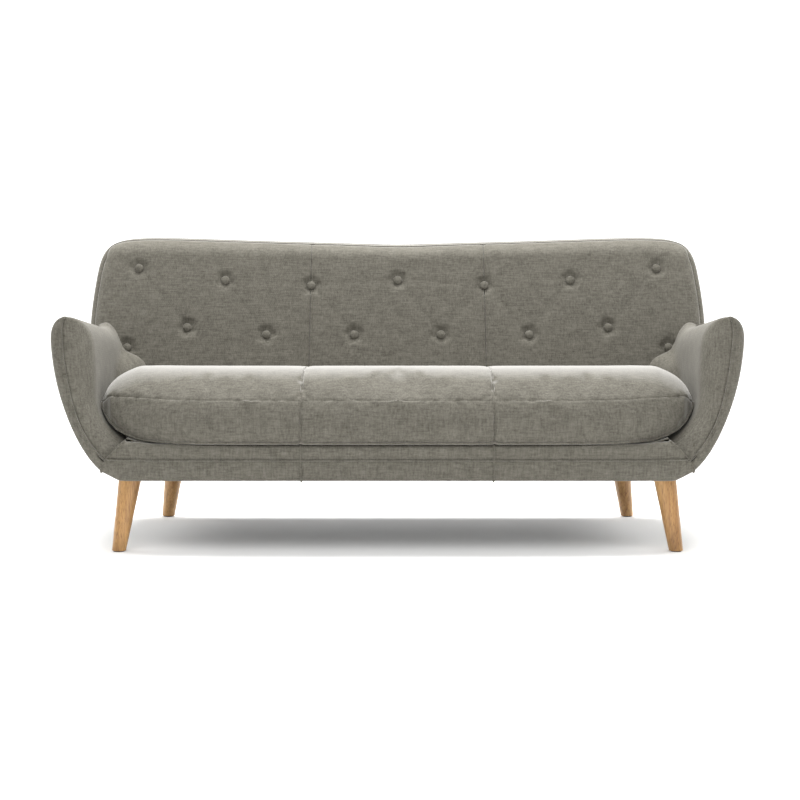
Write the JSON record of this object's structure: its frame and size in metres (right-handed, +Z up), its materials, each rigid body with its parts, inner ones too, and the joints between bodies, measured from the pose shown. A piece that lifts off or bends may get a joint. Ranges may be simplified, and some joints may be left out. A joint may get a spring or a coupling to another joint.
{
  "type": "three-seat sofa",
  "caption": "Upholstered three-seat sofa with a flared tub of arms and back, a button-tufted inside back, one loose bench seat cushion and splayed turned oak legs.",
  "frame": {"origin": "on the floor, under the middle of the sofa's box", "axes": "+Z up; the sofa faces -Y; +X is to the right of someone looking at its front"},
  "size_m": [1.899, 0.8, 0.856],
  "materials": {
    "upholstery_chenille": "woven grey-taupe chenille with a short velvet pile",
    "oak": "clear satin lacquer on turned oak",
    "frame_timber": "planed, unfinished",
    "plywood": "sawn, unfinished",
    "foam": "open-cell foam with fibre wrap",
    "deck_lining": "plain woven lining",
    "dust_cloth": "black non-woven cloth",
    "elastic_webbing": "woven elastic",
    "twine": "waxed twine",
    "spring_steel": "oil-tempered wire",
    "zinc_plated_steel": "bright zinc plate",
    "nylon": "moulded, dull",
    "zip_metal": "dark nickel plate",
    "felt": "pressed felt"
  },
  "bodies": {
    "sofa": {"arm_foam_left": "foam", "arm_foam_right": "foam", "arm_front_board_left": "plywood", "arm_front_board_right": "plywood", "arm_inner_cover_left": "upholstery_chenille", "arm_inner_cover_right": "upholstery_chenille", "arm_outer_cover_left": "upholstery_chenille", "arm_outer_cover_right": "upholstery_chenille", "arm_rear_board_left": "plywood", "arm_rear_board_right": "plywood", "arm_top_rail_left": "frame_timber", "arm_top_rail_right": "frame_timber", "back_border_cover": "upholstery_chenille", "back_buttons": "upholstery_chenille", "back_foam": "foam", "back_lower_rail": "frame_timber", "back_side_panel_left": "plywood", "back_side_panel_right": "plywood", "back_top_rail": "frame_timber", "back_upright_left": "frame_timber", "back_upright_right": "frame_timber", "back_webbing": "elastic_webbing", "base_lower_cover": "upholstery_chenille", "base_upper_cover": "upholstery_chenille", "button_twines": "twine", "button_washers": "nylon", "corner_blocks": "frame_timber", "deck_cloth": "deck_lining", "deck_pad": "foam", "dust_cover": "dust_cloth", "frame_screws": "zinc_plated_steel", "front_border_foam": "foam", "front_rail": "frame_timber", "inside_back_cover": "upholstery_chenille", "leg_bolts": "zinc_plated_steel", "leg_front_left": "oak", "leg_front_right": "oak", "leg_glides": "felt", "leg_nuts": "zinc_plated_steel", "leg_plates": "zinc_plated_steel", "leg_rear_left": "oak", "leg_rear_right": "oak", "outside_back_cover": "upholstery_chenille", "rear_rail": "frame_timber", "seat_brace_left": "frame_timber", "seat_brace_right": "frame_timber", "seat_springs": "spring_steel", "side_rail_left": "frame_timber", "side_rail_right": "frame_timber", "spring_clips": "nylon", "spring_tie_wires": "spring_steel"},
    "seat_cushion": {"seat_cushion_cover": "upholstery_chenille", "seat_cushion_core": "foam", "zip_chain": "nylon"},
    "zip_slider": {"zip_slider": "zip_metal"},
    "zip_pull_tab": {"zip_pull_tab": "zip_metal"}
  },
  "joints": [
    {"name": "seat_cushion_lift", "type": "slide", "parent": "sofa", "child": "seat_cushion", "axis": [0, 0, 1], "range_m": [0, 0.6]},
    {"name": "zip_slide", "type": "slide", "parent": "seat_cushion", "child": "zip_slider", "axis": [1, 0, 0], "range_m": [0, 1.26]},
    {"name": "zip_tab_hinge", "type": "hinge", "parent": "zip_slider", "child": "zip_pull_tab", "pos_m": [-0.63, 0.0786, 0.385], "axis": [1, 0, 0], "range_deg": [0, 150]}
  ]
}
